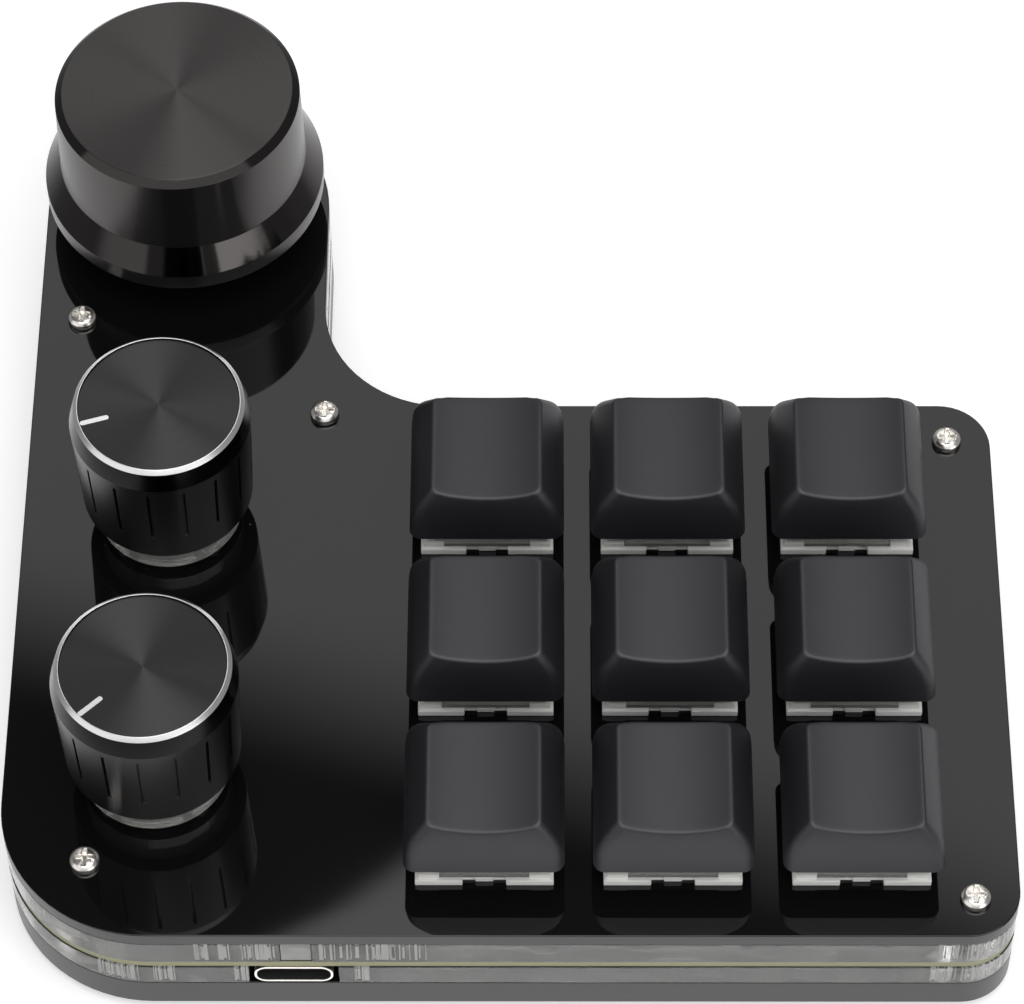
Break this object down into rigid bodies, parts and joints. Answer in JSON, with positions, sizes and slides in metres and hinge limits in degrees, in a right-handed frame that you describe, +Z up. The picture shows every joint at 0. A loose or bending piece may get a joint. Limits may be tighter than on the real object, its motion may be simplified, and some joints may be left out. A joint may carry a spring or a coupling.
{
  "type": "macro keypad with knobs",
  "caption": "Desk keypad with a block of square press keys beside a column of turning, pressing knobs on an L-shaped stack of black and clear plates.",
  "frame": {"origin": "under the middle of the outline, on the surface that the feet stand on", "axes": "+X to the right, +Y away from the person who uses it, +Z up; the socket faces -Y"},
  "size_m": [0.1152, 0.1212, 0.0395],
  "materials": {
    "black_acrylic": "polished cast sheet",
    "clear_acrylic": "polished clear sheet",
    "circuit_board": "glass-fibre laminate",
    "white_nylon": "moulded",
    "clear_housing": "moulded clear",
    "brass": "plain",
    "chip_black": "moulded",
    "nickel": "nickel plated",
    "foot_rubber": "matte",
    "black_anodised": "turned and anodised",
    "dark_steel": "blackened",
    "keycap_plastic": "fine matte",
    "stem_plastic": "moulded",
    "spring_steel": "drawn wire",
    "encoder_case": "pressed",
    "shaft_metal": "turned",
    "clear_core": "moulded clear"
  },
  "bodies": {
    "root": {"top_plate": "black_acrylic", "upper_clear_frame": "clear_acrylic", "circuit_board": "circuit_board", "lower_clear_frame": "clear_acrylic", "bottom_plate": "black_acrylic", "switch_lower_housings": "white_nylon", "switch_upper_housings": "clear_housing", "switch_contact_pins": "brass", "key_diodes": "chip_black", "microcontroller": "chip_black", "standoffs": "nickel", "top_screws": "nickel", "bottom_screws": "nickel", "rubber_feet": "foot_rubber", "usb_c_shell": "nickel", "usb_c_tongue": "chip_black", "encoder_body_back": "encoder_case", "encoder_body_middle": "encoder_case", "encoder_body_front": "encoder_case", "key_spring_1_1": "spring_steel", "key_spring_1_2": "spring_steel", "key_spring_1_3": "spring_steel", "key_spring_2_1": "spring_steel", "key_spring_2_2": "spring_steel", "key_spring_2_3": "spring_steel", "key_spring_3_1": "spring_steel", "key_spring_3_2": "spring_steel", "key_spring_3_3": "spring_steel"},
    "key_1_1": {"keycap_1_1": "keycap_plastic", "key_stem_1_1": "stem_plastic"},
    "key_1_2": {"keycap_1_2": "keycap_plastic", "key_stem_1_2": "stem_plastic"},
    "key_1_3": {"keycap_1_3": "keycap_plastic", "key_stem_1_3": "stem_plastic"},
    "key_2_1": {"keycap_2_1": "keycap_plastic", "key_stem_2_1": "stem_plastic"},
    "key_2_2": {"keycap_2_2": "keycap_plastic", "key_stem_2_2": "stem_plastic"},
    "key_2_3": {"keycap_2_3": "keycap_plastic", "key_stem_2_3": "stem_plastic"},
    "key_3_1": {"keycap_3_1": "keycap_plastic", "key_stem_3_1": "stem_plastic"},
    "key_3_2": {"keycap_3_2": "keycap_plastic", "key_stem_3_2": "stem_plastic"},
    "key_3_3": {"keycap_3_3": "keycap_plastic", "key_stem_3_3": "stem_plastic"},
    "plunger_back": {"encoder_plunger_back": "chip_black"},
    "knob_back": {"encoder_shaft_back": "shaft_metal", "big_knob": "black_anodised", "big_knob_set_screw": "dark_steel"},
    "plunger_middle": {"encoder_plunger_middle": "chip_black"},
    "knob_middle": {"encoder_shaft_middle": "shaft_metal", "small_knob_shell_middle": "black_anodised", "small_knob_core_middle": "clear_core"},
    "plunger_front": {"encoder_plunger_front": "chip_black"},
    "knob_front": {"encoder_shaft_front": "shaft_metal", "small_knob_shell_front": "black_anodised", "small_knob_core_front": "clear_core"}
  },
  "joints": [
    {"name": "key_press_1_1", "type": "slide", "parent": "root", "child": "key_1_1", "axis": [0, 0, -1], "range_m": [0, 0.004], "stiffness_N_per_m": 80, "springref_m": -0.004, "deforming": ["key_spring_1_1"]},
    {"name": "key_press_1_2", "type": "slide", "parent": "root", "child": "key_1_2", "axis": [0, 0, -1], "range_m": [0, 0.004], "stiffness_N_per_m": 80, "springref_m": -0.004, "deforming": ["key_spring_1_2"]},
    {"name": "key_press_1_3", "type": "slide", "parent": "root", "child": "key_1_3", "axis": [0, 0, -1], "range_m": [0, 0.004], "stiffness_N_per_m": 80, "springref_m": -0.004, "deforming": ["key_spring_1_3"]},
    {"name": "key_press_2_1", "type": "slide", "parent": "root", "child": "key_2_1", "axis": [0, 0, -1], "range_m": [0, 0.004], "stiffness_N_per_m": 80, "springref_m": -0.004, "deforming": ["key_spring_2_1"]},
    {"name": "key_press_2_2", "type": "slide", "parent": "root", "child": "key_2_2", "axis": [0, 0, -1], "range_m": [0, 0.004], "stiffness_N_per_m": 80, "springref_m": -0.004, "deforming": ["key_spring_2_2"]},
    {"name": "key_press_2_3", "type": "slide", "parent": "root", "child": "key_2_3", "axis": [0, 0, -1], "range_m": [0, 0.004], "stiffness_N_per_m": 80, "springref_m": -0.004, "deforming": ["key_spring_2_3"]},
    {"name": "key_press_3_1", "type": "slide", "parent": "root", "child": "key_3_1", "axis": [0, 0, -1], "range_m": [0, 0.004], "stiffness_N_per_m": 80, "springref_m": -0.004, "deforming": ["key_spring_3_1"]},
    {"name": "key_press_3_2", "type": "slide", "parent": "root", "child": "key_3_2", "axis": [0, 0, -1], "range_m": [0, 0.004], "stiffness_N_per_m": 80, "springref_m": -0.004, "deforming": ["key_spring_3_2"]},
    {"name": "key_press_3_3", "type": "slide", "parent": "root", "child": "key_3_3", "axis": [0, 0, -1], "range_m": [0, 0.004], "stiffness_N_per_m": 80, "springref_m": -0.004, "deforming": ["key_spring_3_3"]},
    {"name": "knob_press_back", "type": "slide", "parent": "root", "child": "plunger_back", "axis": [0, 0, -1], "range_m": [0, 0.0005], "stiffness_N_per_m": 4000, "springref_m": -0.0006},
    {"name": "knob_turn_back", "type": "hinge", "parent": "plunger_back", "child": "knob_back", "pos_m": [-0.04015, 0.04315, 0.0167], "axis": [0, 0, 1], "continuous": true},
    {"name": "knob_press_middle", "type": "slide", "parent": "root", "child": "plunger_middle", "axis": [0, 0, -1], "range_m": [0, 0.0005], "stiffness_N_per_m": 4000, "springref_m": -0.0006},
    {"name": "knob_turn_middle", "type": "hinge", "parent": "plunger_middle", "child": "knob_middle", "pos_m": [-0.04015, -0.00325, 0.0167], "axis": [0, 0, 1], "continuous": true},
    {"name": "knob_press_front", "type": "slide", "parent": "root", "child": "plunger_front", "axis": [0, 0, -1], "range_m": [0, 0.0005], "stiffness_N_per_m": 4000, "springref_m": -0.0006},
    {"name": "knob_turn_front", "type": "hinge", "parent": "plunger_front", "child": "knob_front", "pos_m": [-0.04015, -0.039, 0.0167], "axis": [0, 0, 1], "continuous": true}
  ]
}
